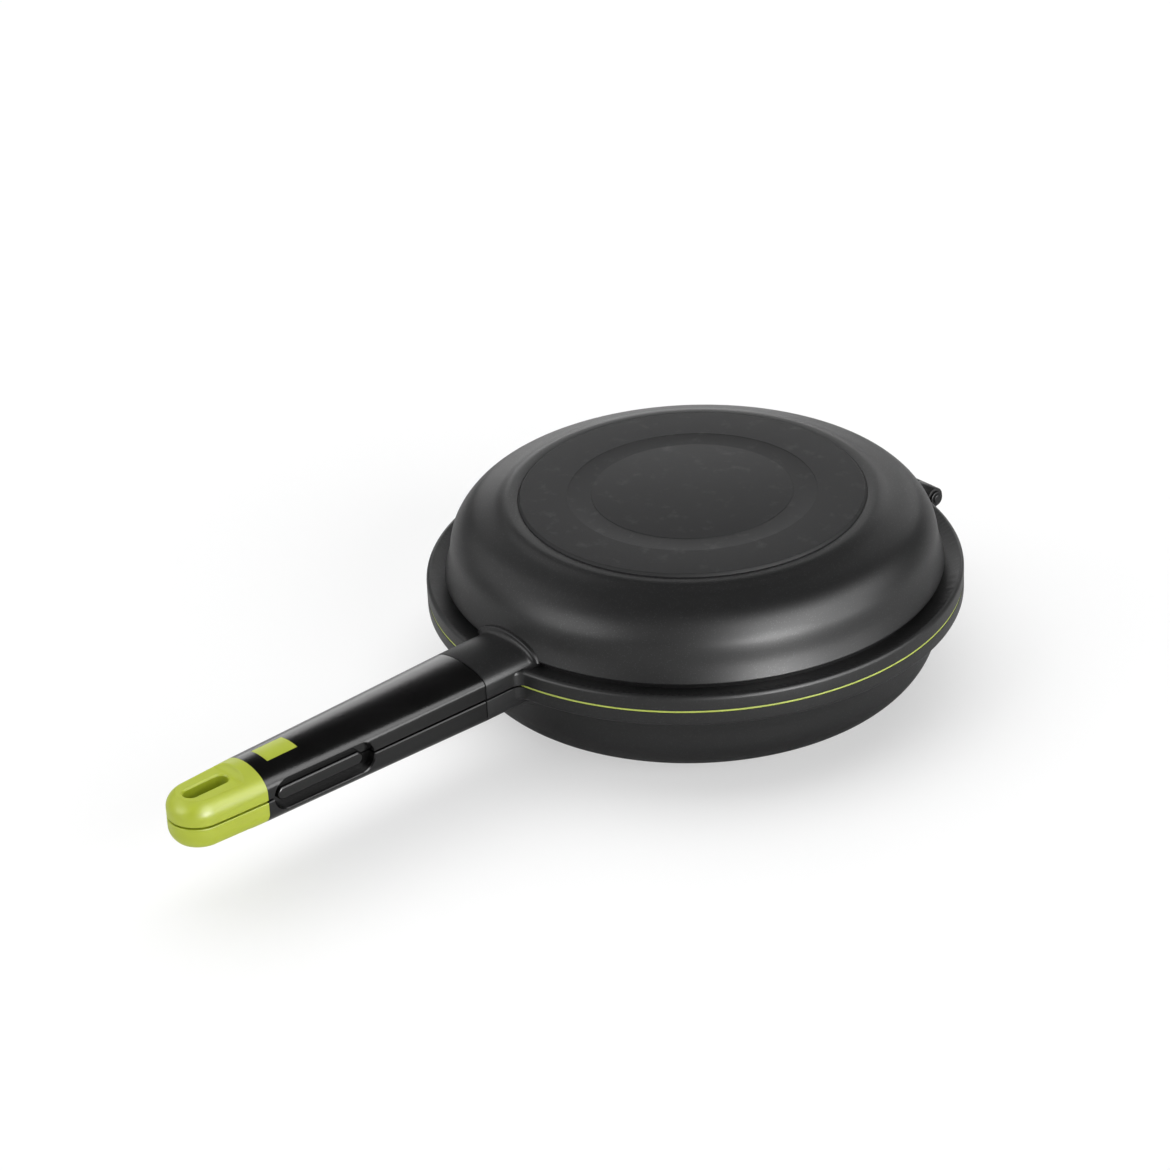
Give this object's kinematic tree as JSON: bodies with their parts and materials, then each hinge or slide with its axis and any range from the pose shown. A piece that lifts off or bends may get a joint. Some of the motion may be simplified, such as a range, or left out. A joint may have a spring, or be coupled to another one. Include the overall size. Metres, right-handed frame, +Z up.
{
  "type": "double sided flip pan",
  "caption": "Hinged double frying pan: two shallow round pans close rim to rim over a seal, with a split handle and soft end caps.",
  "frame": {"origin": "centre of the lower pan's base plate, on the surface that the pan stands on", "axes": "+Z up through the two pans; the handle points along -Y and the hinge is on the +Y side"},
  "size_m": [0.268, 0.4728, 0.0992],
  "materials": {
    "coated_casting": "satin dark grey non-stick coat with a fine sparkle",
    "coated_plate": "matt dark grey coat over steel",
    "green_silicone": "smooth lime green silicone",
    "black_handle": "half gloss black phenolic moulding",
    "green_cap": "satin lime green soft-touch moulding",
    "nickel_magnet": "nickel plate",
    "blackened_steel": "steel with a dark oxide finish",
    "steel": "bright stainless steel"
  },
  "bodies": {
    "lower_half": {"lower_pan": "coated_casting", "lower_base_plate": "coated_plate", "rim_seal": "green_silicone", "lower_handle": "black_handle", "lower_handle_screw": "steel", "lower_handle_washer": "steel", "lower_end_cap": "green_cap", "lower_cap_screws": "steel", "lower_handle_inlay": "green_cap", "lower_magnet": "nickel_magnet", "hinge_pin": "blackened_steel", "hinge_clip": "blackened_steel"},
    "upper_half": {"upper_pan": "coated_casting", "upper_base_plate": "coated_plate", "upper_handle": "black_handle", "upper_handle_screw": "steel", "upper_handle_washer": "steel", "upper_end_cap": "green_cap", "upper_cap_screws": "steel", "upper_handle_inlay": "green_cap", "upper_magnet": "nickel_magnet"}
  },
  "joints": [
    {"name": "hinge", "type": "hinge", "parent": "lower_half", "child": "upper_half", "pos_m": [0, 0.1417, 0.0515], "axis": [-1, 0, 0], "range_deg": [0, 180]}
  ]
}
